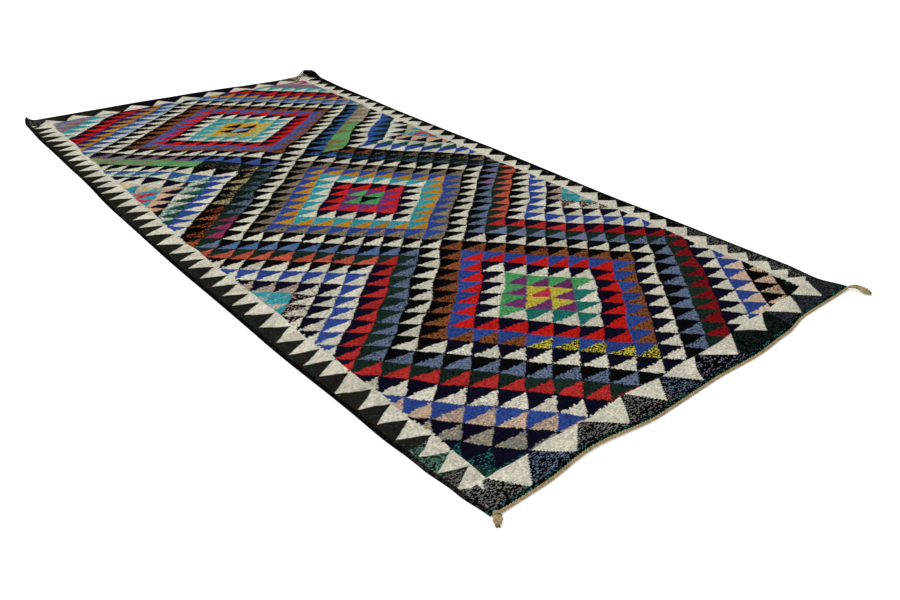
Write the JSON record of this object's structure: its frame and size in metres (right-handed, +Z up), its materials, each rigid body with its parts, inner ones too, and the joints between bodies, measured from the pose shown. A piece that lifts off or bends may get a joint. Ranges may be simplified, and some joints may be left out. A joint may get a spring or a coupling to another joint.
{
  "type": "kilim rug",
  "caption": "Long flat-woven wool kilim rug with concentric lozenges of small triangles, a toothed dark border and plaited short ends, laid flat as a floor covering.",
  "frame": {"origin": "on the underside of the cloth, under the middle of the rug", "axes": "+X across the rug, to its right side; +Y along its length, to the far end; +Z up"},
  "size_m": [1.5467, 3.0502, 0.0503],
  "materials": {
    "kilim_wool": "weft-faced hand-spun wool in many dyed colours, matt, with a fine ribbed weave",
    "warp_plait": "undyed beige warp yarn, plaited, matt and a little fuzzy"
  },
  "bodies": {
    "root": {"kilim_cloth": "kilim_wool", "near_end_plait": "warp_plait", "far_end_plait": "warp_plait"}
  },
  "joints": []
}
